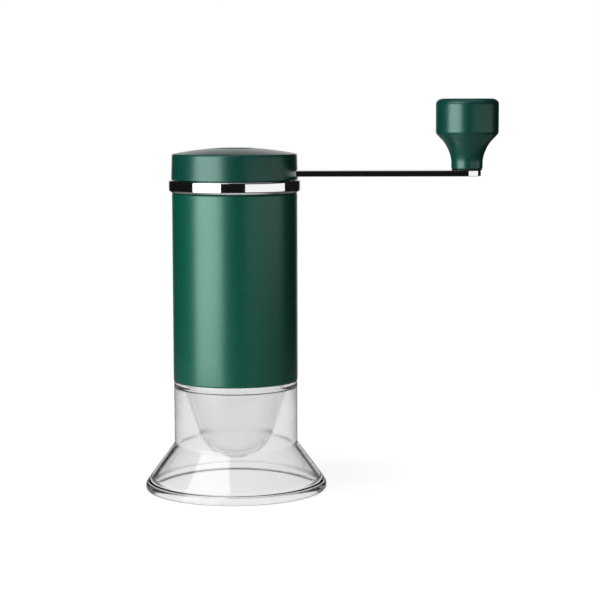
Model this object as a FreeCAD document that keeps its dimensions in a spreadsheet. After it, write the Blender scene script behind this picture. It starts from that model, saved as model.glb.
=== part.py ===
import FreeCAD, Part
import Sketcher
import math
import os
from types import SimpleNamespace

# Hand crank coffee grinder. Millimetres, Z up, origin at the centre of the foot, crank along +X.
SIZES = {
    # clear base
    "base_radius": 42.4,
    "foot_edge": 1.2,
    "foot_band": 2.5,
    "foot_step": 0.9,
    "foot_rise": 1.6,
    "foot_round": 2.0,
    "foot_width": 4.1,
    "flare_top": 21.5,
    "skirt_inset": 0.2,
    "ledge_height": 51.4,
    "base_wall": 2.2,
    "collar_depth": 3.2,
    "neck_height": 9.5,
    "neck_wall": 2.4,
    "neck_chamfer": 0.6,
    "cup_floor": 15.5,
    "cup_round": 16.3,
    "cup_wall": 1.7,
    "cup_seat": 1.6,
    "seal_height": 2.0,
    "seal_depth": 1.2,
    "seal_rise": 4.0,
    # body tube, bright ring and hopper
    "body_radius": 29.0,
    "body_length": 86.9,
    "body_wall": 1.2,
    "edge_break": 0.3,
    "ring_proud": 1.5,
    "ring_height": 6.0,
    "ring_gap": 0.5,
    "ring_step": 0.6,
    "ring_chamfer": 0.9,
    "ring_edge": 0.4,
    "ring_lip": 4.2,
    "ring_section": 2.7,
    "liner_wall": 1.8,
    "liner_step": 1.0,
    # carrier of the burrs and the two spiders
    "housing_lift": 0.5,
    "socket_wall": 2.4,
    "clamp_thickness": 2.4,
    "clamp_clear": 1.3,
    "throat_height": 2.5,
    "throat_inset": 1.5,
    "hub_radius": 8.0,
    "hub_height": 6.8,
    "bush_wall": 2.0,
    "bush_flange": 1.0,
    "bush_rim": 1.4,
    "bridge_count": 3,
    "bridge_width": 3.4,
    "bridge_depth": 5.0,
    "bridge_ring": 1.2,
    # clamp screws
    "screw_count": 3,
    "screw_offset": 1.6,
    "screw_shank": 1.0,
    "screw_head": 1.6,
    "screw_head_height": 1.3,
    "screw_length": 6.0,
    "screw_drive": 1.5,
    "screw_drive_depth": 0.7,
    # burrs
    "burr_carrier_wall": 6.1,
    "burr_ring_wall": 4.5,
    "burr_height": 17.0,
    "grind_height": 6.0,
    "grind_slope": 0.4,
    "grind_gap": 0.6,
    "burr_drop": 0.5,
    "cone_height": 21.0,
    "cone_top_radius": 8.6,
    "core_radius": 6.6,
    "core_flange": 12.0,
    "core_flange_height": 2.0,
    "core_proud": 0.3,
    "tooth_count": 30,
    "tooth_depth": 0.7,
    "tooth_half_width": 1.1,
    "tooth_skew": 1.2,
    "flute_count": 7,
    "flute_depth": 1.3,
    "flute_half_width": 2.0,
    "flute_skew": 2.6,
    "burr_open": 1.25,
    "burr_close": 0.75,
    # shaft, clips, spring and nut
    "shaft_radius": 4.0,
    "shaft_flat": 6.0,
    "shaft_tail": 1.4,
    "hex_width": 6.8,
    "hex_chamfer": 0.5,
    "groove_radius": 2.9,
    "clip_radius": 6.2,
    "clip_thickness": 0.8,
    "washer_radius": 7.4,
    "washer_thickness": 0.6,
    "spring_wire": 0.9,
    "spring_radius": 5.3,
    "spring_length": 6.9,
    "spring_turns": 4,
    "nut_radius": 11.0,
    "nut_height": 7.5,
    "nut_edge": 0.8,
    "nut_scallops": 12,
    "nut_scallop_radius": 1.5,
    # cap and drive hub
    "cap_gap": 0.3,
    "cap_proud": 0.3,
    "cap_taper": 0.4,
    "cap_side": 11.7,
    "cap_shoulder": 0.8,
    "cap_wall": 2.0,
    "cap_shelf": 0.8,
    "dome_rise": 2.7,
    "spigot_wall": 1.8,
    "spigot_length": 4.0,
    "plug_radius": 8.5,
    "plug_thickness": 1.4,
    "plug_sink": 0.6,
    "post_wall": 1.4,
    "cap_screw_shank": 2.0,
    "cap_screw_head": 3.6,
    "cap_screw_head_height": 2.6,
    "cap_screw_length": 11.0,
    "cap_screw_drive": 3.0,
    "drive_radius": 8.0,
    "drive_length": 12.3,
    "drive_socket": 8.5,
    "drive_square": 7.5,
    # crank arm and knob
    "window_sill": 1.3,
    "window_gap": 0.3,
    "arm_length": 107.3,
    "arm_width": 13.0,
    "arm_thickness": 2.7,
    "arm_edge": 0.2,
    "pin_tenon": 2.4,
    "pin_radius": 3.2,
    "pin_head": 5.2,
    "pin_head_height": 2.4,
    "knob_washer_radius": 7.0,
    "knob_washer_thickness": 0.4,
    "knob_gap": 0.15,
    "knob_height": 32.35,
    "knob_radius": 14.5,
    "knob_neck": 7.25,
    "knob_neck_length": 2.75,
    "knob_neck_round": 0.5,
    "knob_curve": 15.1,
    "knob_knee_out": 5.0,
    "knob_knee_height": 13.95,
    "knob_grip_start": 16.35,
    "knob_cover": 2.3,
    "knob_cover_edge": 0.3,
    "knob_cover_inset": 3.0,
    "knob_cover_round": 3.25,
    "knob_plug": 2.5,
    "knob_pocket": 8.5,
    "knob_pocket_start": 18.55,
    "knob_bush_wall": 1.3,
    # clearances
    "fit_gap": 0.1,
    "run_gap": 0.05,
    "end_gap": 0.3,
    "socket_gap": 0.35,
    "neck_gap": 0.6,
    "spigot_gap": 0.4,
}


class Size:
    """A number that carries the sheet formula it comes from."""

    def __init__(self, value, formula):
        self.value = value
        self.formula = formula

    def __add__(self, other):
        return joined(self, "+", other, self.value + number(other))

    def __radd__(self, other):
        return joined(other, "+", self, number(other) + self.value)

    def __sub__(self, other):
        return joined(self, "-", other, self.value - number(other))

    def __rsub__(self, other):
        return joined(other, "-", self, number(other) - self.value)

    def __mul__(self, other):
        return joined(self, "*", other, self.value * number(other))

    def __rmul__(self, other):
        return joined(other, "*", self, number(other) * self.value)

    def __truediv__(self, other):
        return joined(self, "/", other, self.value / number(other))

    def __neg__(self):
        return Size(-self.value, f"(0 - {self.formula})")


def number(item):
    return item.value if isinstance(item, Size) else float(item)


def formula(item):
    return item.formula if isinstance(item, Size) else str(item)


def joined(left, sign, right, value):
    return Size(value, f"({formula(left)} {sign} {formula(right)})")


def root(size):
    return Size(math.sqrt(size.value), f"sqrt({size.formula})")


# sheet, document and levels

doc = FreeCAD.newDocument("coffee_grinder")
sheet = doc.addObject("Spreadsheet::Sheet", "Sizes")
for row, (name, value) in enumerate(SIZES.items(), start=1):
    sheet.set(f"A{row}", name)
    sheet.set(f"B{row}", str(value))
    sheet.setAlias(f"B{row}", name)
doc.recompute()
s = SimpleNamespace(**{name: Size(value, f"Sizes.{name}") for name, value in SIZES.items()})


def base_levels():
    """Radii and heights of the base, the tube and what stands inside the tube's lower half."""
    s.housing_radius = s.body_radius - s.body_wall - s.fit_gap
    s.socket_radius = s.housing_radius - s.socket_wall
    s.neck_radius = s.socket_radius - s.socket_gap
    s.neck_bore = s.neck_radius - s.neck_wall
    s.skirt_radius = s.body_radius - s.skirt_inset
    s.void_top = s.ledge_height - s.collar_depth
    s.void_reach = s.neck_bore + s.cup_wall
    s.seat_level = s.ledge_height - s.cup_seat
    s.neck_top = s.ledge_height + s.neck_height
    s.clamp_low = s.neck_top + s.neck_gap
    s.burr_low = s.clamp_low + s.clamp_thickness
    s.burr_top = s.burr_low + s.burr_height
    s.throat_top = s.burr_top + s.throat_height
    s.seat_radius = s.housing_radius - s.burr_carrier_wall
    s.burr_radius = s.seat_radius - s.fit_gap
    s.grind_radius = s.burr_radius - s.burr_ring_wall
    s.throat_radius = s.grind_radius - s.throat_inset
    s.grind_top_radius = s.grind_radius - s.grind_height * s.grind_slope
    s.cone_low = s.burr_low - s.burr_drop
    s.cone_top = s.burr_low + s.cone_height
    s.core_low = s.cone_low - s.core_flange_height
    s.core_top = s.cone_top + s.core_proud
    s.nut_low = s.core_low - s.nut_height
    s.end_clip_top = s.nut_low - s.burr_open - s.end_gap
    s.shaft_low = s.end_clip_top - s.clip_thickness - s.shaft_tail
    s.hub_low = s.core_top + s.spring_length + s.washer_thickness
    s.hub_top = s.hub_low + s.hub_height
    s.housing_top = s.hub_top
    s.flange_top = s.hub_top + s.bush_flange
    s.clip_low = s.flange_top + s.washer_thickness


def upper_levels():
    """Radii and heights from the tube's top up to the knob."""
    s.body_top = s.ledge_height + s.body_length
    s.ring_top = s.body_top + s.ring_height
    s.lip_low = s.body_top - s.ring_lip
    s.mouth_radius = s.housing_radius - s.ring_section
    s.liner_bore = s.housing_radius - s.liner_wall
    s.liner_throat = s.liner_bore - s.liner_step
    s.cap_low = s.ring_top + s.cap_gap
    s.arm_low = s.cap_low + s.window_sill
    s.arm_top = s.arm_low + s.arm_thickness
    s.drive_low = s.arm_low - s.drive_length
    s.socket_top = s.drive_low + s.drive_socket
    s.upper_flange_top = s.drive_low - s.end_gap * 3
    s.upper_hub_top = s.upper_flange_top - s.bush_flange
    s.upper_hub_low = s.upper_hub_top - s.hub_height
    s.hex_low = s.upper_flange_top + s.end_gap
    s.hex_top = s.socket_top - s.end_gap
    s.bush_bore = s.shaft_radius + s.run_gap
    s.bush_radius = s.bush_bore + s.bush_wall
    s.shoulder = s.cap_low + s.cap_side
    s.dome_top = s.shoulder + s.dome_rise
    s.recess_floor = s.dome_top - s.plug_sink - s.plug_thickness
    s.head_seat = s.recess_floor - s.cap_screw_head_height - s.end_gap
    s.knob_low = s.arm_top + s.knob_washer_thickness + s.knob_gap
    s.knob_top = s.knob_low + s.knob_height
    s.knob_seam = s.knob_top - s.knob_cover
    s.pocket_low = s.knob_low + s.knob_pocket_start
    s.knob_bush_bore = s.pin_radius + s.run_gap
    s.knob_bush_radius = s.knob_bush_bore + s.knob_bush_wall


base_levels()
upper_levels()


# sketches

def origin_part(body, role):
    return [item for item in body.Origin.OriginFeatures if item.Role == role][0]


def sketch_on(body, name, plane, lift=None):
    """A sketch on one of the body's own planes, lifted along Z by a sheet formula."""
    sketch = body.newObject("Sketcher::SketchObject", name)
    sketch.AttachmentSupport = [(origin_part(body, plane), "")]
    sketch.MapMode = "FlatFace"
    if lift is not None:
        sketch.AttachmentOffset = FreeCAD.Placement(FreeCAD.Vector(0, 0, lift.value), FreeCAD.Rotation())
        sketch.setExpression("AttachmentOffset.Base.z", lift.formula)
    return sketch


def spot(corner):
    return FreeCAD.Vector(number(corner[0]), number(corner[1]), 0)


def arc_between(start, stop, radius, turn):
    """The short arc from start to stop; turn is 1 for counter-clockwise and -1 for clockwise."""
    step = stop - start
    side = FreeCAD.Vector(-step.y, step.x, 0).normalize() * turn
    reach = math.sqrt(radius ** 2 - (step.Length / 2) ** 2)
    centre = (start + stop) * 0.5 + side * reach
    ends = [start, stop][::turn]
    angles = [math.atan2(end.y - centre.y, end.x - centre.x) for end in ends]
    if angles[1] < angles[0]:
        angles[1] += 2 * math.pi
    return Part.ArcOfCircle(Part.Circle(centre, FreeCAD.Vector(0, 0, 1), radius), *angles)


class Holds:
    """Constraints gathered for one sketch and bound to the sheet in one go."""

    def __init__(self, sketch):
        self.sketch = sketch
        self.constraints = []
        self.formulas = []

    def add(self, size, *words):
        value = [] if size is None else [size.value]
        self.constraints.append(Sketcher.Constraint(*words, *value))
        self.formulas.append(None if size is None else size.formula)

    def place(self, edge, end, corner):
        for word, axis, size in (("DistanceX", -2, corner[0]), ("DistanceY", -1, corner[1])):
            if isinstance(size, Size):
                self.add(size, word, -1, 1, edge, end)
            else:
                self.add(None, "PointOnObject", edge, end, axis)

    def bind(self):
        first = self.sketch.ConstraintCount
        self.sketch.addConstraint(self.constraints)
        for index, text in enumerate(self.formulas, start=first):
            if text:
                self.sketch.setExpression(f"Constraints[{index}]", text)


def draw_loop(sketch, corners):
    """One closed loop. A corner is (x, y), or (x, y, radius, turn) where an arc arrives at it."""
    first = sketch.GeometryCount
    count = len(corners)
    ends = []
    holds = Holds(sketch)
    for here in range(count):
        start, stop = corners[here], corners[(here + 1) % count]
        if len(stop) == 2:
            sketch.addGeometry(Part.LineSegment(spot(start), spot(stop)))
            ends.append((1, 2))
        else:
            sketch.addGeometry(arc_between(spot(start), spot(stop), stop[2].value, stop[3]))
            ends.append((1, 2)[::stop[3]])
            holds.add(stop[2], "Radius", first + here)
    for here in range(count):
        after = (here + 1) % count
        holds.add(None, "Coincident", first + here, ends[here][1], first + after, ends[after][0])
    for here, corner in enumerate(corners):
        holds.place(first + here, ends[here][0], corner)
    holds.bind()


def draw_circle(sketch, x, y, radius):
    centre = spot((x, y))
    edge = sketch.addGeometry(Part.Circle(centre, FreeCAD.Vector(0, 0, 1), radius.value))
    holds = Holds(sketch)
    holds.add(radius, "Radius", edge)
    holds.place(edge, 3, (x, y))
    holds.bind()


def rectangle(low_x, high_x, low_y, high_y):
    return [(low_x, low_y), (high_x, low_y), (high_x, high_y), (low_x, high_y)]


def hexagon(width):
    """Six corners, two of them on the X axis, from the width across flats."""
    half = width / 2
    corner = width / root(Size(3.0, "3"))
    return [(corner, 0), (corner / 2, half), (-(corner / 2), half),
            (-corner, 0), (-(corner / 2), -half), (corner / 2, -half)]


# features

def new_body(name):
    body = doc.addObject("PartDesign::Body", name)
    body.Label = name
    return body


def revolve(body, corners):
    """Add a ring of material from a profile of (radius, height) corners."""
    sketch = sketch_on(body, f"{body.Name}_profile", "XZ_Plane")
    draw_loop(sketch, corners)
    ring = body.newObject("PartDesign::Revolution", f"{body.Name}_turn")
    ring.Profile = sketch
    ring.ReferenceAxis = (sketch, ["V_Axis"])
    ring.Angle = 360.0
    doc.recompute()
    return ring


def turned(name, corners):
    body = new_body(name)
    revolve(body, corners)
    return body


def pad(body, sketch, height):
    block = body.newObject("PartDesign::Pad", f"{sketch.Name}_pad")
    block.Profile = sketch
    block.Length = height.value
    block.setExpression("Length", height.formula)
    doc.recompute()
    return block


def pocket(body, sketch, height):
    """Cut upward from the sketch; the volume must drop."""
    before = body.Shape.Volume
    cut = body.newObject("PartDesign::Pocket", f"{sketch.Name}_cut")
    cut.Profile = sketch
    cut.Reversed = True
    cut.Length = height.value
    cut.setExpression("Length", height.formula)
    doc.recompute()
    if not body.Shape.Volume < before:
        raise ValueError(f"{cut.Name} cuts nothing")
    return cut


def around(body, features, count):
    """Repeat features evenly about Z."""
    pattern = body.newObject("PartDesign::PolarPattern", f"{features[0].Name}_round")
    pattern.Originals = features
    pattern.Axis = (origin_part(body, "Z_Axis"), [""])
    pattern.Angle = 360.0
    pattern.Occurrences = int(count.value)
    pattern.setExpression("Occurrences", count.formula)
    body.Tip = pattern
    doc.recompute()
    return pattern


def rings_at(shape, radius, height):
    """Names of the round edges of one radius at one height."""
    names = []
    for index, edge in enumerate(shape.Edges, start=1):
        middle = edge.BoundBox.Center
        if edge.BoundBox.ZLength < 1e-4 and abs(middle.z - height.value) < 1e-4:
            if abs(edge.BoundBox.XLength / 2 - radius.value) < 1e-3:
                names.append(f"Edge{index}")
    return names


def soften(body, kind, names, size):
    """A Fillet or Chamfer on named edges of the body's last feature."""
    last = body.Tip
    edge = body.newObject(f"PartDesign::{kind}", f"{body.Name}_{kind.lower()}")
    edge.Base = (last, names)
    word = "Radius" if kind == "Fillet" else "Size"
    setattr(edge, word, size.value)
    edge.setExpression(word, size.formula)
    doc.recompute()


def at_knob(body):
    """Move a body from the Z axis to the knob's axis."""
    body.Placement = FreeCAD.Placement(FreeCAD.Vector(s.arm_length.value, 0, 0), FreeCAD.Rotation())
    body.setExpression("Placement.Base.x", s.arm_length.formula)


# base

def touch_point(radius, centre, reach, height):
    """Where the line from (reach, height) touches a circle centred on the axis."""
    rise = height - centre
    square = reach * reach + rise * rise
    tangent = root(square - radius * radius)
    side = radius * (reach * radius + rise * tangent) / square
    level = centre + radius * (rise * radius - reach * tangent) / square
    return side, level


def cup_corners():
    """The cup from the neck's bore down inside, round the floor and up outside to the void's top."""
    centre = s.cup_floor + s.cup_round
    outer = s.cup_round + s.cup_wall
    inner_side, inner_level = touch_point(s.cup_round, centre, s.neck_bore, s.void_top)
    outer_side, outer_level = touch_point(outer, centre, s.void_reach, s.void_top)
    return [
        (s.neck_bore, s.void_top),
        (inner_side, inner_level),
        (0, s.cup_floor, s.cup_round, -1),
        (0, s.cup_floor - s.cup_wall),
        (outer_side, outer_level, outer, 1),
        (s.void_reach, s.void_top),
    ]


def foot_corners():
    """The skirt's inner wall, the foot and the outer wall up to the ledge."""
    flare_foot = s.base_radius - s.foot_step
    flare_low = s.foot_band + s.foot_rise
    out = flare_foot - s.skirt_radius
    rise = s.flare_top - flare_low
    slope = root(out * out + rise * rise)
    inner_crease = s.flare_top - s.base_wall * (slope - rise) / out
    foot_inner = s.base_radius - s.foot_width
    inner_foot = s.flare_top - (foot_inner - s.skirt_radius + s.base_wall * slope / rise) * rise / out
    skirt_inner = s.skirt_radius - s.base_wall
    return [
        (skirt_inner, s.void_top),
        (skirt_inner, inner_crease),
        (foot_inner, inner_foot),
        (foot_inner, 0),
        (s.base_radius - s.foot_edge, 0),
        (s.base_radius, s.foot_edge, s.foot_edge, 1),
        (s.base_radius, s.foot_band),
        (flare_foot, flare_low, s.foot_round, 1),
        (s.skirt_radius, s.flare_top),
        (s.skirt_radius, s.ledge_height - s.edge_break),
        (s.skirt_radius - s.edge_break, s.ledge_height),
    ]


def make_base():
    """The skirt on its foot, with a stepped seat for the cup in its top."""
    turned("clear_base", foot_corners() + [
        (s.neck_radius + s.fit_gap, s.ledge_height),
        (s.neck_radius + s.fit_gap, s.seat_level),
        (s.void_reach + s.fit_gap, s.seat_level),
        (s.void_reach + s.fit_gap, s.void_top),
    ])


def make_cup():
    """The cup hangs in the seat by the step under its neck; the neck carries the seal."""
    groove = s.neck_radius - s.seal_depth
    groove_low = s.ledge_height + s.seal_rise
    groove_top = groove_low + s.seal_height
    neck = [
        (s.void_reach, s.seat_level),
        (s.neck_radius, s.seat_level),
        (s.neck_radius, groove_low),
        (groove, groove_low),
        (groove, groove_top),
        (s.neck_radius, groove_top),
        (s.neck_radius, s.neck_top - s.neck_chamfer),
        (s.neck_radius - s.neck_chamfer, s.neck_top),
        (s.neck_bore, s.neck_top),
    ]
    turned("grounds_cup", neck + cup_corners())
    seal_out = s.socket_radius - s.run_gap * 2
    crown = seal_out - s.seal_height / 4
    turned("seal_ring", [
        (groove + s.run_gap, groove_low + s.run_gap),
        (crown, groove_low + s.run_gap),
        (seal_out, groove_low + s.seal_height / 3),
        (seal_out, groove_top - s.seal_height / 3),
        (crown, groove_top - s.run_gap),
        (groove + s.run_gap, groove_top - s.run_gap),
    ])


# tube, ring and hopper

def make_tube():
    bore = s.body_radius - s.body_wall
    turned("body_tube", [
        (bore, s.ledge_height),
        (s.body_radius - s.edge_break, s.ledge_height),
        (s.body_radius, s.ledge_height + s.edge_break),
        (s.body_radius, s.body_top - s.edge_break),
        (s.body_radius - s.edge_break, s.body_top),
        (bore, s.body_top),
    ])
    rim = s.body_radius + s.ring_proud
    step = s.body_radius - s.ring_step
    flange_low = s.body_top + s.ring_gap
    turned("chrome_ring", [
        (s.mouth_radius, s.lip_low),
        (s.housing_radius, s.lip_low),
        (s.housing_radius, s.body_top),
        (step, s.body_top),
        (step, flange_low),
        (rim - s.ring_chamfer, flange_low),
        (rim, flange_low + s.ring_chamfer),
        (rim, s.ring_top - s.ring_edge),
        (rim - s.ring_edge, s.ring_top),
        (s.mouth_radius, s.ring_top),
    ])
    turned("hopper_liner", [
        (s.liner_throat, s.housing_top),
        (s.housing_radius, s.housing_top),
        (s.housing_radius, s.lip_low),
        (s.liner_bore, s.lip_low),
        (s.liner_bore, s.upper_hub_low),
        (s.liner_throat, s.upper_hub_low),
    ])


def add_spider(body, low, reach):
    """Three arms from the hub out to a reach, turned so that none lies along the crank."""
    half = s.bridge_width / 2
    sketch = sketch_on(body, f"{body.Name}_arm", "XY_Plane", low)
    draw_loop(sketch, rectangle(-reach, -(s.bush_radius + s.fit_gap * 2), -half, half))
    arm = pad(body, sketch, s.bridge_depth)
    around(body, [arm], s.bridge_count)


def hub_corners(low, top):
    return [(s.bush_radius + s.fit_gap, low), (s.hub_radius, low),
            (s.hub_radius, top), (s.bush_radius + s.fit_gap, top)]


def make_bush(name, low, seat):
    """A flanged bush; the flange lies on the hub's top."""
    rim = s.bush_radius + s.bush_rim
    turned(name, [
        (s.bush_bore, low),
        (s.bush_radius, low),
        (s.bush_radius, seat),
        (rim, seat),
        (rim, seat + s.bush_flange),
        (s.bush_bore, seat + s.bush_flange),
    ])


def make_upper_bridge():
    outer = s.liner_bore - s.fit_gap
    inner = outer - s.bridge_ring
    body = turned("upper_bridge", hub_corners(s.upper_hub_low, s.upper_hub_top))
    add_spider(body, s.upper_hub_low, inner + s.bridge_ring / 2)
    sketch = sketch_on(body, "upper_bridge_rim", "XY_Plane", s.upper_hub_low)
    draw_circle(sketch, 0, 0, outer)
    draw_circle(sketch, 0, 0, inner)
    pad(body, sketch, s.lip_low - s.upper_hub_low)
    make_bush("upper_bush", s.upper_hub_low, s.upper_hub_top)


# carrier of the burrs

def screw_circle():
    return s.seat_radius + s.screw_offset


def make_housing():
    housing_low = s.ledge_height + s.housing_lift
    body = turned("burr_housing", [
        (s.socket_radius, housing_low),
        (s.housing_radius, housing_low),
        (s.housing_radius, s.housing_top),
        (s.liner_throat, s.housing_top),
        (s.throat_radius, s.throat_top),
        (s.throat_radius, s.burr_top),
        (s.seat_radius, s.burr_top),
        (s.seat_radius, s.burr_low),
        (s.socket_radius, s.burr_low),
    ])
    add_spider(body, s.hub_low, s.housing_radius - s.edge_break)
    sketch = sketch_on(body, "burr_housing_hub", "XY_Plane", s.hub_low)
    draw_circle(sketch, 0, 0, s.hub_radius)
    draw_circle(sketch, 0, 0, s.bush_radius + s.fit_gap)
    pad(body, sketch, s.hub_height)
    holes = sketch_on(body, "burr_housing_hole", "XY_Plane", s.burr_low)
    draw_circle(holes, screw_circle(), 0, s.screw_shank + s.run_gap)
    hole = pocket(body, holes, s.screw_length)
    around(body, [hole], s.screw_count)
    make_bush("lower_bush", s.hub_low, s.hub_top)


def make_clamp():
    body = turned("burr_clamp", rectangle(
        s.grind_radius + s.clamp_clear, s.socket_radius - s.fit_gap, s.clamp_low, s.burr_low))
    through = sketch_on(body, "burr_clamp_hole", "XY_Plane", s.clamp_low)
    draw_circle(through, screw_circle(), 0, s.screw_shank + s.run_gap)
    hole = pocket(body, through, s.clamp_thickness)
    sunk = sketch_on(body, "burr_clamp_sink", "XY_Plane", s.clamp_low)
    draw_circle(sunk, screw_circle(), 0, s.screw_head + s.fit_gap)
    sink = pocket(body, sunk, s.screw_head_height + s.fit_gap)
    around(body, [hole, sink], s.screw_count)


def make_clamp_screws():
    """Three separate screws, heads down, sunk in the clamp ring."""
    head_low = s.clamp_low + s.fit_gap
    body = new_body("clamp_screws")
    heads = sketch_on(body, "clamp_screws_head", "XY_Plane", head_low)
    draw_circle(heads, screw_circle(), 0, s.screw_head)
    head = pad(body, heads, s.screw_head_height)
    shanks = sketch_on(body, "clamp_screws_shank", "XY_Plane", head_low + s.screw_head_height)
    draw_circle(shanks, screw_circle(), 0, s.screw_shank)
    shank = pad(body, shanks, s.screw_length)
    drives = sketch_on(body, "clamp_screws_drive", "XY_Plane", head_low)
    draw_loop(drives, [(screw_circle() + x, y) for x, y in drive_star()])
    drive = pocket(body, drives, s.screw_drive_depth)
    around(body, [head, shank, drive], s.screw_count)


def drive_star():
    """Corners of the clamp screw's cross slot, as offsets from its axis."""
    long, short = s.screw_drive / 2, s.screw_drive / 6
    return [(long, -short), (long, short), (short, short), (short, long), (-short, long), (-short, short),
            (-long, short), (-long, -short), (-short, -short), (-short, -long), (short, -long), (short, -short)]


# burrs

def add_flutes(body, name, low, top, half_width, skew, count):
    """Cut skewed notches. low and top are (height, radius outside the cut, radius at its root)."""
    sketches = []
    for label, (height, open_radius, root_radius), shift in (("low", low, 0), ("top", top, skew)):
        sketch = sketch_on(body, f"{name}_{label}", "XY_Plane", height)
        draw_loop(sketch, [(open_radius, shift - half_width), (open_radius, shift + half_width),
                           (root_radius, shift)])
        sketches.append(sketch)
    cut = body.newObject("PartDesign::SubtractiveLoft", f"{name}_cut")
    cut.Profile = sketches[0]
    cut.Sections = [sketches[1]]
    cut.Ruled = True
    doc.recompute()
    around(body, [cut], count)


def make_outer_burr():
    band_top = s.burr_low + s.grind_height
    body = turned("outer_burr", [
        (s.grind_radius, s.burr_low),
        (s.burr_radius, s.burr_low),
        (s.burr_radius, s.burr_top),
        (s.throat_radius, s.burr_top),
        (s.grind_top_radius, s.burr_top - s.throat_height),
        (s.grind_top_radius, band_top),
    ])
    lead = s.fit_gap * 2
    low_radius = s.grind_radius + lead * s.grind_slope
    add_flutes(body, "outer_teeth",
               (s.burr_low - lead, low_radius - s.tooth_depth, low_radius + s.tooth_depth),
               (band_top, s.grind_top_radius - s.tooth_depth, s.grind_top_radius + s.tooth_depth),
               s.tooth_half_width, s.tooth_skew, s.tooth_count)
    add_flutes(body, "outer_flutes",
               (band_top - lead, s.grind_top_radius - s.flute_depth, s.grind_top_radius + s.flute_depth),
               (s.burr_top + lead, s.throat_radius - s.flute_depth, s.throat_radius + s.flute_depth),
               s.flute_half_width, s.flute_skew, s.flute_count)


def make_inner_burr():
    bore = s.core_radius + s.fit_gap
    band_top = s.burr_low + s.grind_height
    low_radius = s.grind_radius - s.grind_gap + s.burr_drop * s.grind_slope
    band_radius = s.grind_top_radius - s.grind_gap
    body = turned("inner_burr", [
        (bore, s.cone_low),
        (low_radius, s.cone_low),
        (band_radius, band_top),
        (s.cone_top_radius, s.cone_top),
        (bore, s.cone_top),
    ])
    lead = s.fit_gap * 2
    under = low_radius + lead * s.grind_slope
    add_flutes(body, "inner_teeth",
               (s.cone_low - lead, under + s.tooth_depth, under - s.tooth_depth),
               (band_top, band_radius + s.tooth_depth, band_radius - s.tooth_depth),
               s.tooth_half_width, s.tooth_skew, s.tooth_count)
    add_flutes(body, "inner_flutes",
               (band_top - lead, band_radius + s.flute_depth, band_radius - s.flute_depth * 2),
               (s.cone_top + lead, s.cone_top_radius + s.flute_depth, s.cone_top_radius - s.flute_depth),
               s.flute_half_width, s.flute_skew, s.flute_count)


def flat_bore(radius, width):
    """A round bore with two flats square to Y, as one loop."""
    half = width / 2
    across = root(radius * radius - half * half)
    return [(across, -half), (across, half, radius, 1), (-across, half), (-across, -half, radius, 1)]


def make_core():
    body = turned("burr_core", [
        (0, s.core_low),
        (s.core_flange, s.core_low),
        (s.core_flange, s.cone_low),
        (s.core_radius, s.cone_low),
        (s.core_radius, s.core_top),
        (0, s.core_top),
    ])
    sketch = sketch_on(body, "burr_core_bore", "XY_Plane", s.core_low)
    draw_loop(sketch, flat_bore(s.bush_bore, s.shaft_flat + s.run_gap * 2))
    pocket(body, sketch, s.core_top - s.core_low)


# shaft and what it carries

def make_shaft():
    body = turned("drive_shaft", [
        (0, s.shaft_low),
        (s.groove_radius, s.shaft_low),
        (s.shaft_radius, s.shaft_low + s.shaft_radius - s.groove_radius),
        (s.shaft_radius, s.end_clip_top - s.clip_thickness - s.run_gap),
        (s.groove_radius, s.end_clip_top - s.clip_thickness - s.run_gap),
        (s.groove_radius, s.end_clip_top + s.run_gap),
        (s.shaft_radius, s.end_clip_top + s.run_gap),
        (s.shaft_radius, s.clip_low - s.run_gap),
        (s.groove_radius, s.clip_low - s.run_gap),
        (s.groove_radius, s.clip_low + s.clip_thickness + s.run_gap),
        (s.shaft_radius, s.clip_low + s.clip_thickness + s.run_gap),
        (s.shaft_radius, s.hex_low),
        (0, s.hex_low),
    ])
    top = sketch_on(body, "drive_shaft_hex", "XY_Plane", s.hex_low)
    draw_loop(top, hexagon(s.hex_width))
    pad(body, top, s.hex_top - s.hex_low)
    shape = body.Shape
    rim = [f"Edge{index}" for index, edge in enumerate(shape.Edges, start=1)
           if abs(edge.BoundBox.ZMin - s.hex_top.value) < 1e-4]
    soften(body, "Chamfer", rim, s.hex_chamfer)
    flats = sketch_on(body, "drive_shaft_flats", "XY_Plane", s.shaft_low)
    half = s.shaft_flat / 2
    draw_loop(flats, rectangle(-(s.shaft_radius * 2), s.shaft_radius * 2, half, s.shaft_radius * 2))
    draw_loop(flats, rectangle(-(s.shaft_radius * 2), s.shaft_radius * 2, -(s.shaft_radius * 2), -half))
    pocket(body, flats, s.hub_low - s.washer_thickness - s.shaft_low)


def make_clips():
    """Two equal open clips: one above the lower bush, one at the shaft's lower end."""
    low = s.end_clip_top - s.clip_thickness
    body = turned("shaft_clips", rectangle(
        s.groove_radius + s.run_gap, s.clip_radius, low, s.end_clip_top))
    mouth = sketch_on(body, "shaft_clips_mouth", "XY_Plane", low)
    draw_loop(mouth, rectangle(0, s.clip_radius * 2, -s.groove_radius, s.groove_radius))
    opening = pocket(body, mouth, s.clip_thickness)
    pair = body.newObject("PartDesign::LinearPattern", "shaft_clips_pair")
    pair.Originals = [body.getObject("shaft_clips_turn"), opening]
    pair.Direction = (origin_part(body, "Z_Axis"), [""])
    spread = s.clip_low - low
    pair.Length = spread.value
    pair.setExpression("Length", spread.formula)
    pair.Occurrences = 2
    body.Tip = pair
    doc.recompute()


def make_washers():
    bore = s.shaft_radius + s.fit_gap
    turned("thrust_washer", rectangle(bore, s.washer_radius, s.flange_top, s.clip_low))
    turned("spring_washer", rectangle(bore, s.washer_radius, s.hub_low - s.washer_thickness, s.hub_low))


def coil_point(angle, low, climb, radius):
    return FreeCAD.Vector(radius * math.cos(angle), radius * math.sin(angle), low + climb * angle)


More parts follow.
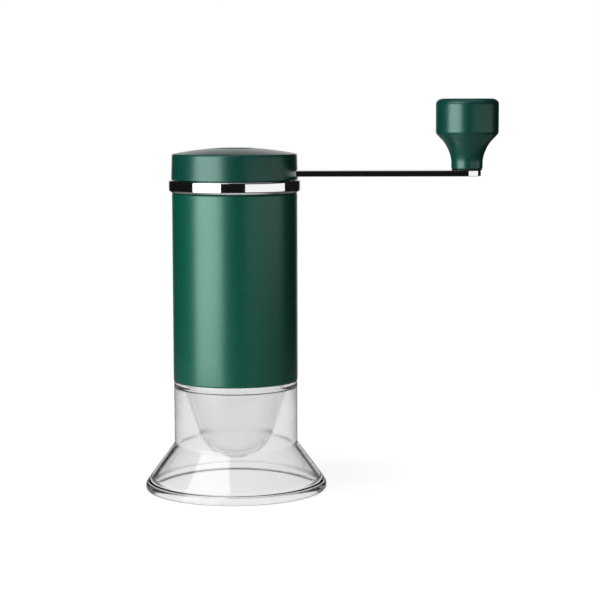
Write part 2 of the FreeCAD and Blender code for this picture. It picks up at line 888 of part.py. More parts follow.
def biarc(start, start_way, stop, stop_way):
    """Two arcs that leave start and reach stop along the given directions."""
    gap = stop - start
    ways = start_way + stop_way
    along = gap.dot(ways)
    lean = 2 * (1 - start_way.dot(stop_way))
    reach = (-along + math.sqrt(along ** 2 + lean * gap.dot(gap))) / lean
    middle = (start + stop + (start_way - stop_way) * reach) * 0.5
    way = (stop - start - ways * reach).normalize()
    return [Part.Arc(start, arc_middle(start, start_way, middle), middle).toShape(),
            Part.Arc(middle, arc_middle(middle, way, stop), stop).toShape()]


def arc_middle(start, way, stop):
    """Middle point of the arc that leaves start along way and ends at stop."""
    chord = stop - start
    half = chord.getAngle(way) / 2
    bow = way - chord * (way.dot(chord) / chord.dot(chord))
    return start + chord * 0.5 + bow.normalize() * (chord.Length / 2 * math.tan(half))


def coil_gap(radius, climb, turns, wire):
    """Least gap between the wire and itself, measured on points a turn apart."""
    steps = 48
    points = [coil_point(2 * math.pi * i / steps, 0, climb, radius) for i in range(int(turns * steps) + 1)]
    pairs = [(a, b) for i, a in enumerate(points) for b in points[i + steps // 2:]]
    return min(a.distanceToPoint(b) for a, b in pairs) - wire


def make_spring():
    """One unbroken wire on a chain of arcs, two to each quarter turn."""
    wire, radius, turns = s.spring_wire.value, s.spring_radius.value, int(s.spring_turns.value)
    low = s.core_top.value + wire / 2
    climb = (s.spring_length.value - wire) / (2 * math.pi * turns)
    edges = []
    for quarter in range(turns * 4):
        angles = [quarter * math.pi / 2, (quarter + 1) * math.pi / 2]
        ends = [coil_point(angle, low, climb, radius) for angle in angles]
        ways = [FreeCAD.Vector(-radius * math.sin(angle), radius * math.cos(angle), climb).normalize()
                for angle in angles]
        edges += biarc(ends[0], ways[0], ends[1], ways[1])
    way = FreeCAD.Vector(0, radius, climb).normalize()
    section = Part.Wire(Part.Circle(coil_point(0, low, climb, radius), way, wire / 2).toShape())
    spring = doc.addObject("Part::Feature", "burr_spring")
    spring.Label = "burr_spring"
    spring.Shape = Part.Wire(edges).makePipeShell([section], True, False)
    print("least gap of the spring to itself, mm:", round(coil_gap(radius, climb, turns, wire), 3))


def make_nut():
    rim = s.nut_radius
    body = turned("adjust_nut", [
        (s.bush_bore, s.nut_low),
        (rim - s.nut_edge, s.nut_low),
        (rim, s.nut_low + s.nut_edge),
        (rim, s.core_low - s.nut_edge),
        (rim - s.nut_edge, s.core_low),
        (s.bush_bore, s.core_low),
    ])
    sketch = sketch_on(body, "adjust_nut_scallop", "XY_Plane", s.nut_low)
    draw_circle(sketch, rim + s.nut_scallop_radius / 3, 0, s.nut_scallop_radius)
    scallop = pocket(body, sketch, s.nut_height)
    around(body, [scallop], s.nut_scallops)


# cap and drive

def make_cap():
    low_radius = s.body_radius + s.cap_proud
    top_radius = low_radius - s.cap_taper
    recess = s.plug_radius + s.fit_gap
    post = recess + s.post_wall
    inner = top_radius - s.cap_wall
    spigot_out = s.mouth_radius - s.spigot_gap
    spigot_in = spigot_out - s.spigot_wall
    spigot_low = s.cap_low - s.spigot_length
    shelf = s.cap_low + s.cap_shelf
    rise = s.dome_rise
    drop = (top_radius * top_radius - recess * recess - rise * rise) / (rise * 2)
    dome_radius = root(recess * recess + (drop + rise) * (drop + rise))
    screw_hole = s.cap_screw_shank + s.fit_gap * 2
    head_hole = s.cap_screw_head + s.end_gap
    body = turned("cap_shell", [
        (low_radius, s.cap_low),
        (top_radius, s.shoulder),
        (recess, s.dome_top, dome_radius, 1),
        (recess, s.recess_floor),
        (head_hole, s.recess_floor),
        (head_hole, s.head_seat),
        (screw_hole, s.head_seat),
        (screw_hole, s.arm_top),
        (post, s.arm_top),
        (post, s.recess_floor - s.end_gap),
        (inner, s.shoulder - s.cap_wall),
        (inner, shelf),
        (spigot_in, shelf),
        (spigot_in, spigot_low),
        (spigot_out, spigot_low),
        (spigot_out, s.cap_low),
    ])
    soften(body, "Fillet", rings_at(body.Shape, top_radius, s.shoulder), s.cap_shoulder)
    window = sketch_on(body, "cap_shell_window", "XY_Plane", s.arm_low - s.window_gap)
    half = s.arm_width / 2 + s.window_gap
    draw_loop(window, rectangle(spigot_in, s.body_radius + s.ring_proud, -half, half))
    pocket(body, window, s.arm_thickness + s.window_gap * 2)
    turned("cap_plug", [
        (0, s.recess_floor),
        (s.plug_radius, s.recess_floor),
        (s.plug_radius, s.recess_floor + s.plug_thickness - s.edge_break),
        (s.plug_radius - s.edge_break, s.recess_floor + s.plug_thickness),
        (0, s.recess_floor + s.plug_thickness),
    ])


def make_cap_screw():
    head_top = s.head_seat + s.cap_screw_head_height
    body = turned("cap_screw", [
        (0, s.head_seat - s.cap_screw_length),
        (s.cap_screw_shank, s.head_seat - s.cap_screw_length),
        (s.cap_screw_shank, s.head_seat),
        (s.cap_screw_head, s.head_seat),
        (s.cap_screw_head, head_top),
        (0, head_top),
    ])
    depth = s.cap_screw_head_height / 2
    sketch = sketch_on(body, "cap_screw_drive", "XY_Plane", head_top - depth)
    draw_loop(sketch, hexagon(s.cap_screw_drive))
    pocket(body, sketch, depth)


def make_drive_hub():
    body = turned("drive_hub", [
        (0, s.drive_low),
        (s.drive_radius - s.edge_break, s.drive_low),
        (s.drive_radius, s.drive_low + s.edge_break),
        (s.drive_radius, s.arm_low),
        (0, s.arm_low),
    ])
    half = s.drive_square / 2
    square = sketch_on(body, "drive_hub_square", "XY_Plane", s.arm_low)
    draw_loop(square, rectangle(-half, half, -half, half))
    pad(body, square, s.arm_thickness - s.fit_gap)
    socket = sketch_on(body, "drive_hub_socket", "XY_Plane", s.drive_low)
    draw_loop(socket, hexagon(s.hex_width + s.fit_gap * 2))
    pocket(body, socket, s.drive_socket)
    hole = sketch_on(body, "drive_hub_hole", "XY_Plane", s.socket_top)
    draw_circle(hole, 0, 0, s.cap_screw_shank + s.run_gap)
    pocket(body, hole, s.arm_top - s.socket_top)


# crank arm and knob

def make_arm():
    body = new_body("crank_arm")
    half = s.arm_width / 2
    strip = sketch_on(body, "crank_arm_strip", "XY_Plane", s.arm_low)
    draw_loop(strip, [
        (0, -half, half, 1),
        (s.arm_length, -half),
        (s.arm_length + half, 0, half, 1),
        (s.arm_length, half, half, 1),
        (0, half),
        (-half, 0, half, 1),
    ])
    pad(body, strip, s.arm_thickness)
    rims = [f"Edge{index}" for index, edge in enumerate(body.Shape.Edges, start=1)
            if edge.BoundBox.ZLength < 1e-4]
    soften(body, "Fillet", rims, s.arm_edge)
    hub = sketch_on(body, "crank_arm_square", "XY_Plane", s.arm_low)
    side = s.drive_square / 2 + s.fit_gap
    draw_loop(hub, rectangle(-side, side, -side, side))
    pocket(body, hub, s.arm_thickness)
    pin = sketch_on(body, "crank_arm_hole", "XY_Plane", s.arm_low)
    draw_circle(pin, s.arm_length, 0, s.pin_tenon + s.run_gap)
    pocket(body, pin, s.arm_thickness)


def make_pin():
    head_low = s.pocket_low + s.end_gap
    at_knob(turned("knob_pin", [
        (0, s.arm_low),
        (s.pin_tenon, s.arm_low),
        (s.pin_tenon, s.arm_top),
        (s.pin_radius, s.arm_top),
        (s.pin_radius, head_low),
        (s.pin_head, head_low),
        (s.pin_head, head_low + s.pin_head_height - s.edge_break),
        (s.pin_head - s.edge_break, head_low + s.pin_head_height),
        (0, head_low + s.pin_head_height),
    ]))
    at_knob(turned("knob_washer", rectangle(
        s.pin_radius + s.fit_gap, s.knob_washer_radius, s.arm_top, s.arm_top + s.knob_washer_thickness)))


def make_knob():
    bore = s.knob_bush_radius + s.fit_gap
    soft = s.knob_neck_round
    at_knob(turned("knob_body", [
        (bore, s.knob_low),
        (s.knob_neck - soft, s.knob_low),
        (s.knob_neck, s.knob_low + soft, soft, 1),
        (s.knob_neck, s.knob_low + s.knob_neck_length),
        (s.knob_neck + s.knob_knee_out, s.knob_low + s.knob_knee_height, s.knob_curve, -1),
        (s.knob_radius, s.knob_low + s.knob_grip_start),
        (s.knob_radius, s.knob_seam),
        (s.knob_pocket, s.knob_seam),
        (s.knob_pocket, s.pocket_low),
        (bore, s.pocket_low),
    ]))
    at_knob(turned("knob_bush", rectangle(
        s.knob_bush_bore, s.knob_bush_radius, s.knob_low, s.pocket_low)))
    plug = s.knob_pocket - s.fit_gap
    at_knob(turned("knob_cap", [
        (0, s.knob_seam - s.knob_plug),
        (plug, s.knob_seam - s.knob_plug),
        (plug, s.knob_seam),
        (s.knob_radius, s.knob_seam),
        (s.knob_radius, s.knob_seam + s.knob_cover_edge),
        (s.knob_radius - s.knob_cover_inset, s.knob_top, s.knob_cover_round, 1),
        (0, s.knob_top),
    ]))


def main():
    make_base()
    make_cup()
    make_tube()
    make_upper_bridge()
    make_housing()
    make_clamp()
    make_clamp_screws()
    make_outer_burr()
    make_inner_burr()
    make_core()
    make_shaft()
    make_clips()
    make_washers()
    make_spring()
    make_nut()
    make_cap()
    make_cap_screw()
    make_drive_hub()
    make_arm()
    make_pin()
    make_knob()
    doc.recompute()
    export()


def export():
    """Write each body to its own file once all of them are sound."""
    bad = [item.Name for item in doc.Objects if {"Invalid", "Error"} & set(item.State)]
    nodes = [item for item in doc.Objects if item.TypeId in ("PartDesign::Body", "Part::Feature")]
    bad += [item.Label for item in nodes if item.Shape.isNull() or not item.Shape.isValid()]
    if bad:
        raise ValueError(f"not sound: {bad}")
    os.makedirs("parts", exist_ok=True)
    for item in nodes:
        item.Shape.exportStep(f"parts/{item.Label}.step")
        print(item.Label, len(item.Shape.Solids), round(item.Shape.Volume, 1))


main()
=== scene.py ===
import bpy
import bmesh
import math
from mathutils import Matrix, Vector


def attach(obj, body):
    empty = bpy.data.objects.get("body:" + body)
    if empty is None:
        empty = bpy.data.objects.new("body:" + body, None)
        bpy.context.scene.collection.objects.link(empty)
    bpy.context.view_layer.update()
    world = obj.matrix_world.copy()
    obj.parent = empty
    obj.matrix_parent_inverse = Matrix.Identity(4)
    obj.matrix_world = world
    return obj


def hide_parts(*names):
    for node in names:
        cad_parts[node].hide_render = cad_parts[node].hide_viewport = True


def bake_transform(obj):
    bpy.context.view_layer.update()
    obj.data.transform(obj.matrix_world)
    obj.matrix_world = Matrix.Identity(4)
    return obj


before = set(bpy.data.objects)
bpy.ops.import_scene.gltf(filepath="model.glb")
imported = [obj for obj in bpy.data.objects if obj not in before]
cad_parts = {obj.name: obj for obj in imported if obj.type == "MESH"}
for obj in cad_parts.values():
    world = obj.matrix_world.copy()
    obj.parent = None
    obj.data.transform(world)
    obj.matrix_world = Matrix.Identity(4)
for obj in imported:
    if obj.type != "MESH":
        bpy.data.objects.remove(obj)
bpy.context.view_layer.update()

# Shapes are written in millimetres, the scene is in metres
MM = 0.001
KNOB_AXIS = 107.3

# Steps round a turned piece, and how its mesh is finished
ROUND_STEPS = 192
FLAT_REACH = 0.3
MERGE_GAP = 1e-6
CREASE = math.radians(35)

# The arm's window in the cap, the stretch of wall that it is cut from, and the radius where that wall begins
WINDOW_ACROSS, WINDOW_HEIGHT = (-6.8, 6.8), (145.6, 148.9)
WALL_ACROSS, WALL_HEIGHT = (-9, 9), (145.3, 151)
WALL_START = 20
CUT_GAP = 1e-7

# The part of a noise's range that carries its variation
NOISE_LOW, NOISE_HIGH = 0.3, 0.7

# Stage, in metres; the floor lies just under the foot
FLOOR_RADIUS = 0.35
FLOOR_LEVEL = -0.1 * MM
FLOOR_GREY = 0.5
DARK_ROOM = 0.008
LAMP_AIM = Vector((0, 0, 0.1))

# Camera, fitted to the edges of the object in the photograph
CAMERA_PLACE = (0.0301, -0.8348, 0.1807)
CAMERA_DOWN = 6.31
CAMERA_ROLL = -0.12
SENSOR_WIDTH = 36.0
FOCAL_PIXELS = 1803.9
FRAME_PIXELS = 600


# Turned pieces

def profile_wire(outline, axis, closed):
    """A wire in the XZ plane.

    A corner is (radius, height), or (radius, height, tangent length of its round, steps).
    """
    bm = bmesh.new()
    corners = [bm.verts.new(((axis + c[0]) * MM, 0, c[1] * MM)) for c in outline]
    for near, far in zip(corners, corners[1:]):
        bm.edges.new((near, far))
    if closed:
        bm.edges.new((corners[-1], corners[0]))
    for corner, spec in zip(corners, outline):
        if len(spec) == 4:
            bmesh.ops.bevel(bm, geom=[corner], offset=spec[2] * MM, offset_type="OFFSET", segments=spec[3],
                            profile=0.5, affect="VERTICES", material=-1)
    return bm


def hold_flats(bm):
    """Cut the long straight runs close to both ends, so that their shading stays flat."""
    for edge in [e for e in bm.edges if e.calc_length() > 4 * FLAT_REACH * MM]:
        near, far = edge.verts
        other, _ = bmesh.utils.edge_split(edge, near, FLAT_REACH * MM / edge.calc_length())
        rest = edge if far in edge.verts else other
        bmesh.utils.edge_split(rest, far, FLAT_REACH * MM / rest.calc_length())


def turned(name, outline, axis=0.0, closed=True):
    """A solid of revolution about the upright line at axis mm along X."""
    bm = profile_wire(outline, axis, closed)
    hold_flats(bm)
    bmesh.ops.spin(bm, geom=bm.verts[:] + bm.edges[:], cent=(axis * MM, 0, 0), axis=(0, 0, 1),
                   dvec=(0, 0, 0), angle=2 * math.pi, steps=ROUND_STEPS, use_merge=True)
    bmesh.ops.remove_doubles(bm, verts=bm.verts[:], dist=MERGE_GAP)
    bmesh.ops.recalc_face_normals(bm, faces=bm.faces[:])
    return finished(name, bm)


def finished(name, bm):
    """Turn a bmesh into an object at the origin, smooth but for its sharp edges."""
    mesh = bpy.data.meshes.new(name)
    bm.to_mesh(mesh)
    bm.free()
    mesh.shade_smooth()
    mesh.set_sharp_from_angle(angle=CREASE)
    piece = bpy.data.objects.new(name, mesh)
    bpy.context.scene.collection.objects.link(piece)
    return piece


def stands_for(piece, nodes, body, material):
    """Put a finished piece in the place of CAD nodes, on their body."""
    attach(piece, body)
    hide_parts(*nodes)
    piece.data.materials.append(material)


# Material nodes

def new_material(name):
    material = bpy.data.materials.new(name)
    material.use_nodes = True
    return material, material.node_tree, material.node_tree.nodes["Principled BSDF"]


def place_on_piece(tree):
    return tree.nodes.new("ShaderNodeTexCoord").outputs["Object"]


def noise(tree, scale, detail, stretch=(1, 1, 1)):
    """Noise on Object coordinates; scale is per metre."""
    mapping = tree.nodes.new("ShaderNodeMapping")
    mapping.inputs["Scale"].default_value = stretch
    texture = tree.nodes.new("ShaderNodeTexNoise")
    texture.inputs["Scale"].default_value = scale
    texture.inputs["Detail"].default_value = detail
    tree.links.new(place_on_piece(tree), mapping.inputs["Vector"])
    tree.links.new(mapping.outputs["Vector"], texture.inputs["Vector"])
    return texture.outputs["Fac"]


def turning_marks(tree, scale):
    """Fine rings about the mill's axis, as a lathe leaves them."""
    rings = tree.nodes.new("ShaderNodeTexWave")
    rings.wave_type = "RINGS"
    rings.rings_direction = "Z"
    rings.inputs["Scale"].default_value = scale
    rings.inputs["Distortion"].default_value = 1.5
    rings.inputs["Detail"].default_value = 2.0
    tree.links.new(place_on_piece(tree), rings.inputs["Vector"])
    return rings.outputs["Fac"]


def colour_between(tree, fac, low, high, socket):
    ramp = tree.nodes.new("ShaderNodeValToRGB")
    ends = ramp.color_ramp.elements
    for end, colour, position in zip(ends, (low, high), (NOISE_LOW, NOISE_HIGH)):
        end.color = (*colour, 1)
        end.position = position
    tree.links.new(fac, ramp.inputs["Fac"])
    tree.links.new(ramp.outputs["Color"], socket)


def value_between(tree, fac, low, high, socket):
    spread = map_range(tree, fac, (NOISE_LOW, NOISE_HIGH), (low, high))
    tree.links.new(spread.outputs["Result"], socket)


def fade(tree, value, between, levels):
    """A smooth step from the first level to the second."""
    step = map_range(tree, value, between, levels)
    step.interpolation_type = "SMOOTHSTEP"
    return step.outputs["Result"]


def map_range(tree, value, between, levels):
    node = tree.nodes.new("ShaderNodeMapRange")
    node.inputs["From Min"].default_value, node.inputs["From Max"].default_value = between
    node.inputs["To Min"].default_value, node.inputs["To Max"].default_value = levels
    tree.links.new(value, node.inputs["Value"])
    return node


def relief(tree, fac, depth_mm, strength, shader):
    bump = tree.nodes.new("ShaderNodeBump")
    bump.inputs["Distance"].default_value = depth_mm * MM
    bump.inputs["Strength"].default_value = strength
    tree.links.new(fac, bump.inputs["Height"])
    tree.links.new(bump.outputs["Normal"], shader.inputs["Normal"])


# Finishes

def green_enamel():
    """Satin metallic green on the tube: fine flake under a soft clear coat."""
    return flaked_green("green_enamel", deep=(0.001, 0.157, 0.100), light=(0.002, 0.222, 0.142))


def green_moulding():
    """The same finish on the moulded cap and knob, a shade deeper."""
    return flaked_green("green_moulding", deep=(0.001, 0.114, 0.083), light=(0.002, 0.162, 0.118))


def flaked_green(name, deep, light):
    material, tree, shader = new_material(name)
    flake = noise(tree, scale=1600, detail=2)
    cloud = noise(tree, scale=45, detail=3)
    colour_between(tree, flake, deep, light, shader.inputs["Base Color"])
    value_between(tree, cloud, 0.34, 0.38, shader.inputs["Roughness"])
    relief(tree, flake, depth_mm=0.02, strength=0.12, shader=shader)
    shader.inputs["Metallic"].default_value = 0.3
    shader.inputs["Coat Weight"].default_value = 1.0
    shader.inputs["Coat Roughness"].default_value = 0.28
    return material


def bright_chrome():
    """Polished plating with the faint haze of handling."""
    material, tree, shader = new_material("bright_chrome")
    haze = noise(tree, scale=60, detail=4)
    fine = noise(tree, scale=1800, detail=2)
    colour_between(tree, haze, (0.86, 0.87, 0.88), (0.90, 0.91, 0.92), shader.inputs["Base Color"])
    value_between(tree, haze, 0.035, 0.06, shader.inputs["Roughness"])
    relief(tree, fine, depth_mm=0.004, strength=0.05, shader=shader)
    shader.inputs["Metallic"].default_value = 1.0
    return material


def clear_resin():
    """Clear moulded plastic, a touch grey: polished at foot and flare, hazed above them by wiping."""
    material, tree, shader = new_material("clear_resin")
    wipe = noise(tree, scale=120, detail=4)
    split = tree.nodes.new("ShaderNodeSeparateXYZ")
    tree.links.new(place_on_piece(tree), split.inputs[0])
    haze = tree.nodes.new("ShaderNodeMath")
    haze.operation = "MULTIPLY"
    value_between(tree, wipe, 0.10, 0.14, haze.inputs[0])
    above_flare = fade(tree, split.outputs["Z"], between=(0.016, 0.026), levels=(0.4, 1.0))
    tree.links.new(above_flare, haze.inputs[1])
    tree.links.new(haze.outputs[0], shader.inputs["Roughness"])
    shader.inputs["Base Color"].default_value = (0.985, 0.99, 0.988, 1)
    shader.inputs["Transmission Weight"].default_value = 1.0
    shader.inputs["IOR"].default_value = 1.5
    return material


def turned_steel():
    """Bright lathe-turned steel, with rings and a few smudges."""
    material, tree, shader = new_material("turned_steel")
    rings = turning_marks(tree, scale=900)
    smudge = noise(tree, scale=90, detail=3)
    colour_between(tree, smudge, (0.50, 0.50, 0.51), (0.62, 0.62, 0.63), shader.inputs["Base Color"])
    value_between(tree, rings, 0.22, 0.36, shader.inputs["Roughness"])
    relief(tree, rings, depth_mm=0.01, strength=0.15, shader=shader)
    shader.inputs["Metallic"].default_value = 1.0
    return material


def spring_steel():
    """Drawn wire, a little darker than the turned pieces."""
    material, tree, shader = new_material("spring_steel")
    drawn = noise(tree, scale=700, detail=3, stretch=(1, 1, 4))
    colour_between(tree, drawn, (0.40, 0.40, 0.41), (0.55, 0.55, 0.56), shader.inputs["Base Color"])
    value_between(tree, drawn, 0.2, 0.34, shader.inputs["Roughness"])
    shader.inputs["Metallic"].default_value = 1.0
    return material


def bearing_bronze():
    """Porous sintered bronze."""
    material, tree, shader = new_material("bearing_bronze")
    pores = noise(tree, scale=2600, detail=3)
    colour_between(tree, pores, (0.42, 0.25, 0.10), (0.62, 0.41, 0.19), shader.inputs["Base Color"])
    value_between(tree, pores, 0.3, 0.45, shader.inputs["Roughness"])
    relief(tree, pores, depth_mm=0.01, strength=0.2, shader=shader)
    shader.inputs["Metallic"].default_value = 1.0
    return material


def dark_moulding():
    """Black glass-filled plastic with a spark-eroded grain."""
    material, tree, shader = new_material("dark_moulding")
    grain = noise(tree, scale=2200, detail=3)
    cloud = noise(tree, scale=50, detail=3)
    colour_between(tree, cloud, (0.012, 0.013, 0.014), (0.022, 0.023, 0.024), shader.inputs["Base Color"])
    value_between(tree, grain, 0.42, 0.6, shader.inputs["Roughness"])
    relief(tree, grain, depth_mm=0.03, strength=0.25, shader=shader)
    return material


def fired_ceramic():
    """Matt off-white burr ceramic."""
    material, tree, shader = new_material("fired_ceramic")
    grain = noise(tree, scale=1500, detail=4)
    cloud = noise(tree, scale=70, detail=3)
    colour_between(tree, cloud, (0.66, 0.64, 0.58), (0.76, 0.74, 0.69), shader.inputs["Base Color"])
    value_between(tree, grain, 0.45, 0.65, shader.inputs["Roughness"])
    relief(tree, grain, depth_mm=0.02, strength=0.25, shader=shader)
    return material


def seal_rubber():
    """Pale matt rubber."""
    material, tree, shader = new_material("seal_rubber")
    grain = noise(tree, scale=900, detail=3)
    colour_between(tree, grain, (0.50, 0.51, 0.51), (0.58, 0.59, 0.59), shader.inputs["Base Color"])
    value_between(tree, grain, 0.5, 0.65, shader.inputs["Roughness"])
    return material


# Pieces made here

def make_clear_base(resin):
    """Foot band, flare, skirt, ledge, neck with its groove, and the cup inside, as one clear body."""
    skirt_inside = [(26.6, 48.2, 0.3, 3), (26.6, 20.78, 0.8, 5), (38.3, 4.75, 0.6, 4), (38.3, 0.0, 0.1, 2)]
    outside = [(42.39, 0.0, 1.2, 6), (42.39, 2.9, 0.6, 5), (41.7, 3.5, 0.1, 2), (39.7, 3.5, 0.1, 2),
               (39.7, 4.1, 0.1, 2), (41.5, 4.1, 0.1, 2), (28.8, 21.5, 0.5, 5), (28.8, 51.35, 0.3, 3)]
    neck = [(24.95, 51.35, 0.2, 3), (24.95, 55.4), (23.75, 55.4), (23.75, 57.4), (24.95, 57.4),
            (24.95, 60.9, 0.5, 4), (22.55, 60.9, 0.4, 3)]
    cup_inside = [(22.55, 48.2, 1.5, 6), (11.8, 15.5, 11.77, 28), (0.0, 15.5)]
    cup_outside = [(0.0, 13.8), (13.03, 13.8, 13.0, 28), (24.25, 48.2, 0.5, 4)]
    piece = turned("clear_base_skin", skirt_inside + outside + neck + cup_inside + cup_outside)
    stands_for(piece, ["clear_base", "grounds_cup"], "base", resin)


def make_tube(enamel):
    """Painted tube with rounded outer rims."""
    outline = [(27.8, 51.4), (29.0, 51.4, 0.35, 4), (29.0, 138.3, 0.35, 4), (27.8, 138.3)]
    stands_for(turned("tube_skin", outline), ["body_tube"], "body", enamel)


def make_ring(chrome):
    """Bright ring: lip inside the tube, shadow gap over its edge, flange with a wide lower bevel."""
    outline = [
        (25.0, 134.1), (27.7, 134.1), (27.7, 138.3), (28.6, 138.3), (29.4, 138.75), (29.6, 138.8, 0.05, 2),
        (30.5, 139.7, 0.15, 3), (30.5, 143.9, 0.15, 3), (30.1, 144.3, 0.1, 2), (25.0, 144.3, 0.3, 3),
    ]
    stands_for(turned("ring_skin", outline), ["chrome_ring"], "body", chrome)


def make_cap(enamel):
    """Domed cap with the arm's window, and the plug that hides its screw."""
    dome = [(29.3, 144.6, 0.25, 3), (28.9, 156.3, 0.6, 6), (18.85, 158.38, 9.4, 18), (9.2, 158.98, 0.1, 2)]
    screw_well = [(8.6, 158.35), (8.6, 157.0), (3.9, 157.0), (3.9, 154.1), (2.2, 154.1), (2.2, 148.6)]
    inside = [(10.0, 148.6), (10.0, 156.7), (26.9, 154.3, 1.0, 4), (26.9, 145.4)]
    spigot = [(22.8, 145.4), (22.8, 140.6), (24.6, 140.6, 0.3, 3), (24.6, 144.6)]
    piece = turned("cap_skin", dome + screw_well + inside + spigot)
    cut_window(piece)
    stands_for(piece, ["cap_shell"], "crank", enamel)
    plug = [(0.0, 157.0), (8.5, 157.0), (8.5, 158.4, 0.3, 4), (0.0, 158.4)]
    stands_for(turned("plug_skin", plug, closed=False), ["cap_plug"], "crank", enamel)


def cut_window(piece):
    """Open the cap's side wall for the arm, and close the cut's four edges through the wall."""
    bm = bmesh.new()
    bm.from_mesh(piece.data)
    sides = [((0, y, 0), (0, 1, 0)) for y in WINDOW_ACROSS]
    sills = [((0, 0, z), (0, 0, 1)) for z in WINDOW_HEIGHT]
    for point, way in sides + sills:
        wall = [f for f in bm.faces if on_wall(f, WALL_ACROSS, WALL_HEIGHT)]
        edges = {e for f in wall for e in f.edges}
        corners = {v for f in wall for v in f.verts}
        bmesh.ops.bisect_plane(bm, geom=[*wall, *edges, *corners], dist=CUT_GAP,
                               plane_co=Vector(point) * MM, plane_no=way)
    opened = [f for f in bm.faces if on_wall(f, WINDOW_ACROSS, WINDOW_HEIGHT)]
    bmesh.ops.delete(bm, geom=opened, context="FACES")
    bmesh.ops.bridge_loops(bm, edges=[e for e in bm.edges if e.is_boundary])
    bmesh.ops.recalc_face_normals(bm, faces=bm.faces[:])
    bm.to_mesh(piece.data)
    bm.free()
    piece.data.set_sharp_from_angle(angle=CREASE)


def on_wall(face, across, height):
    x, y, z = face.calc_center_median() / MM
    return x > WALL_START and across[0] < y < across[1] and height[0] < z < height[1]


def make_knob(enamel):
    """Flared knob with a pocket for its cover, and the cover above the seam."""
    neck = [(4.65, 149.15), (7.25, 149.15, 0.5, 4), (7.25, 151.9), (7.25, 158.61, 6.6, 20)]
    grip = [(12.25, 163.1), (14.5, 165.5, 0.9, 6), (14.5, 179.2, 0.12, 2)]
    pocket = [(8.5, 179.2), (8.5, 167.7), (4.65, 167.7)]
    piece = turned("knob_skin", neck + grip + pocket, KNOB_AXIS)
    stands_for(piece, ["knob_body"], "knob", enamel)
    cover = [(0.0, 176.7), (8.4, 176.7), (8.4, 179.2), (14.5, 179.2, 0.12, 2), (14.5, 179.5, 0.1, 2),
             (13.66, 181.5, 2.1, 10), (0.0, 181.5)]
    piece = turned("knob_cover_skin", cover, KNOB_AXIS, closed=False)
    stands_for(piece, ["knob_cap"], "knob", enamel)


def make_spring(steel):
    """Coil above the burr, between the shaft and the burr."""
    # The wire's radius, the coil's radius and turns, and the heights of its ends
    wire, radius, turns, low, high = 0.45, 5.3, 4, 85.2, 92.1
    turn_steps, wire_sides = 64, 20
    steps = turns * turn_steps
    climb = (high - low - 2 * wire) / steps
    foot = Matrix.Translation(Vector((radius, 0, low + wire)) * MM)
    upright = Matrix.Rotation(math.pi / 2, 4, "X")
    bm = bmesh.new()
    bmesh.ops.create_circle(bm, cap_ends=True, segments=wire_sides, radius=wire * MM, matrix=foot @ upright)
    bmesh.ops.spin(bm, geom=bm.verts[:] + bm.edges[:] + bm.faces[:], cent=(0, 0, 0), axis=(0, 0, 1),
                   dvec=(0, 0, climb * MM), angle=turns * 2 * math.pi, steps=steps, use_merge=False)
    bmesh.ops.recalc_face_normals(bm, faces=bm.faces[:])
    piece = finished("spring_skin", bm)
    piece.data.materials.append(steel)
    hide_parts("burr_spring")
    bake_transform(piece)


def dress(material, names):
    """Give CAD nodes that stay in the scene their finish."""
    for name in names:
        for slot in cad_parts[name].material_slots:
            slot.material = material


# Stage, light and camera

def make_floor():
    """A pale floor that glows, with painted light in it. Away from the object it glows white for the camera
    and goes dark in the metal; near the object its glow is a painted pool of light seen in the metal, and
    through clear plastic it is dimmer there, painted shade seen through the base.
    """
    bm = bmesh.new()
    bmesh.ops.create_circle(bm, cap_ends=True, segments=96, radius=FLOOR_RADIUS,
                            matrix=Matrix.Translation((0, 0, FLOOR_LEVEL)))
    floor = finished("floor", bm)
    material, tree, shader = new_material("pale_floor")
    tree.nodes.remove(shader)
    reach = tree.nodes.new("ShaderNodeVectorMath")
    reach.operation = "LENGTH"
    tree.links.new(place_on_piece(tree), reach.inputs[0])
    distance = reach.outputs["Value"]
    # Glow by distance from the object: near it, a painted pool of light in the metal and painted shade
    # through the clear base
    straight = fade(tree, distance, between=(0.05, 0.18), levels=(0.86, 1.0))
    in_metal = fade(tree, distance, between=(0.05, 0.11), levels=(0.35, 0.0))
    through_clear = fade(tree, distance, between=(0.05, 0.11), levels=(0.40, 0.72))
    matt = tree.nodes.new("ShaderNodeBsdfDiffuse")
    matt.inputs["Color"].default_value = (FLOOR_GREY, FLOOR_GREY, FLOOR_GREY, 1)
    glow = tree.nodes.new("ShaderNodeEmission")
    both = tree.nodes.new("ShaderNodeAddShader")
    tree.links.new(background_rays(tree, straight, in_metal, through_clear), glow.inputs["Strength"])
    tree.links.new(matt.outputs[0], both.inputs[0])
    tree.links.new(glow.outputs[0], both.inputs[1])
    tree.links.new(both.outputs[0], tree.nodes["Material Output"].inputs["Surface"])
    floor.data.materials.append(material)


def background_rays(tree, straight, in_metal, through_clear):
    """How much glow a ray sees: straight from the camera, in metal and through clear plastic.

    A ray through clear plastic counts as glossy too, so it gets the last two shares.
    """
    path = tree.nodes.new("ShaderNodeLightPath")
    shares = {"Is Camera Ray": straight, "Is Glossy Ray": in_metal, "Is Transmission Ray": through_clear}
    total = None
    for ray, share in shares.items():
        part = tree.nodes.new("ShaderNodeMath")
        part.operation = "MULTIPLY_ADD"
        tree.links.new(path.outputs[ray], part.inputs[0])
        tree.links.new(share, part.inputs[1])
        part.inputs[2].default_value = 0
        if total:
            tree.links.new(total, part.inputs[2])
        total = part.outputs[0]
    return total


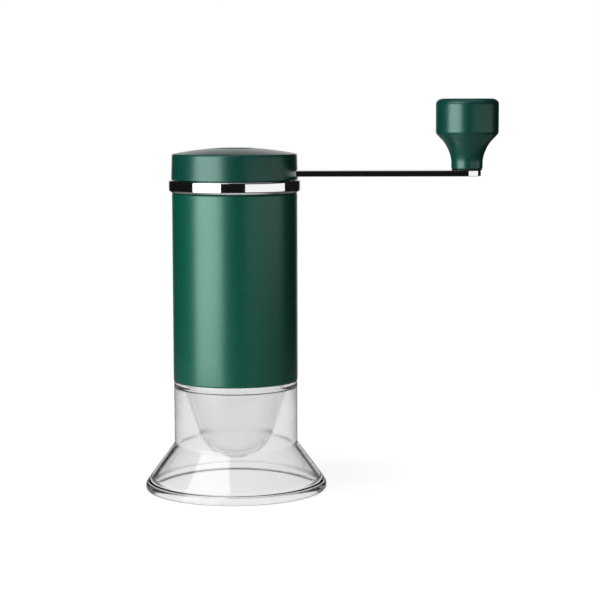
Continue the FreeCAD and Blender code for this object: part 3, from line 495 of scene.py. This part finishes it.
def make_world():
    """A white sweep behind the object and a pale ceiling in a dark room; the camera sees white all round."""
    world = bpy.data.worlds.new("studio")
    bpy.context.scene.world = world
    world.use_nodes = True
    tree = world.node_tree
    back = tree.nodes["Background"]
    back.inputs["Color"].default_value = (1, 1, 1, 1)
    split = tree.nodes.new("ShaderNodeSeparateXYZ")
    tree.links.new(tree.nodes.new("ShaderNodeTexCoord").outputs["Generated"], split.inputs[0])
    level = tree.nodes.new("ShaderNodeLightPath").outputs["Is Camera Ray"]
    sweep = ("Y", (0.90, 0.985), 0.8)
    ceiling = ("Z", (0.7, 0.95), 0.3)
    for way, between, strength in (sweep, ceiling):
        brighter = tree.nodes.new("ShaderNodeMath")
        brighter.operation = "MAXIMUM"
        lit = fade(tree, split.outputs[way], between, levels=(DARK_ROOM, strength))
        tree.links.new(lit, brighter.inputs[0])
        tree.links.new(level, brighter.inputs[1])
        level = brighter.outputs[0]
    tree.links.new(level, back.inputs["Strength"])


def softbox(name, azimuth, distance, lift, width, height, radiance):
    """A soft panel turned to the object; azimuth 0 is the camera's side, positive to the right."""
    light = bpy.data.lights.new(name, "AREA")
    light.shape = "RECTANGLE"
    light.size = width
    light.size_y = height
    light.energy = radiance * math.pi * width * height
    panel = bpy.data.objects.new(name, light)
    angle = math.radians(azimuth)
    panel.location = (distance * math.sin(angle), -distance * math.cos(angle), lift)
    panel.rotation_euler = (LAMP_AIM - panel.location).to_track_quat("-Z", "Y").to_euler()
    panel.visible_camera = False
    bpy.context.scene.collection.objects.link(panel)


def make_lamps():
    """Two panels on the left with a dark gap between them, and a low strip on the right."""
    softbox("left_panel", azimuth=-48, distance=1.06, lift=0.12, width=1.04, height=0.52, radiance=3.75)
    softbox("upper_panel", azimuth=-48, distance=0.7, lift=0.95, width=1.04, height=0.42, radiance=2.3)
    softbox("right_panel", azimuth=59, distance=0.9, lift=0.1, width=1.46, height=0.13, radiance=1.0)


def make_camera():
    lens = bpy.data.cameras.new("camera")
    lens.sensor_width = SENSOR_WIDTH
    lens.lens = SENSOR_WIDTH * FOCAL_PIXELS / FRAME_PIXELS
    lens.clip_start = 0.01
    camera = bpy.data.objects.new("camera", lens)
    camera.location = CAMERA_PLACE
    tilt = Matrix.Rotation(math.radians(90 - CAMERA_DOWN), 4, "X")
    roll = Matrix.Rotation(math.radians(CAMERA_ROLL), 4, "Z")
    camera.rotation_euler = (tilt @ roll).to_euler()
    bpy.context.scene.collection.objects.link(camera)
    bpy.context.scene.camera = camera


def build():
    moulding = green_moulding()
    chrome = bright_chrome()
    make_clear_base(clear_resin())
    make_tube(green_enamel())
    make_ring(chrome)
    make_cap(moulding)
    make_knob(moulding)
    dress(chrome, ["crank_arm"])
    dress(turned_steel(), ["drive_shaft", "clamp_screws", "thrust_washer", "shaft_clips", "spring_washer",
                           "cap_screw", "drive_hub", "knob_pin"])
    make_spring(spring_steel())
    dress(bearing_bronze(), ["upper_bush", "lower_bush", "knob_bush"])
    dress(dark_moulding(), ["hopper_liner", "upper_bridge", "burr_housing", "burr_clamp", "burr_core",
                            "adjust_nut", "knob_washer"])
    dress(fired_ceramic(), ["outer_burr", "inner_burr"])
    dress(seal_rubber(), ["seal_ring"])
    make_floor()
    make_world()
    make_lamps()
    make_camera()
    bpy.context.scene.view_settings.view_transform = "Standard"


build()
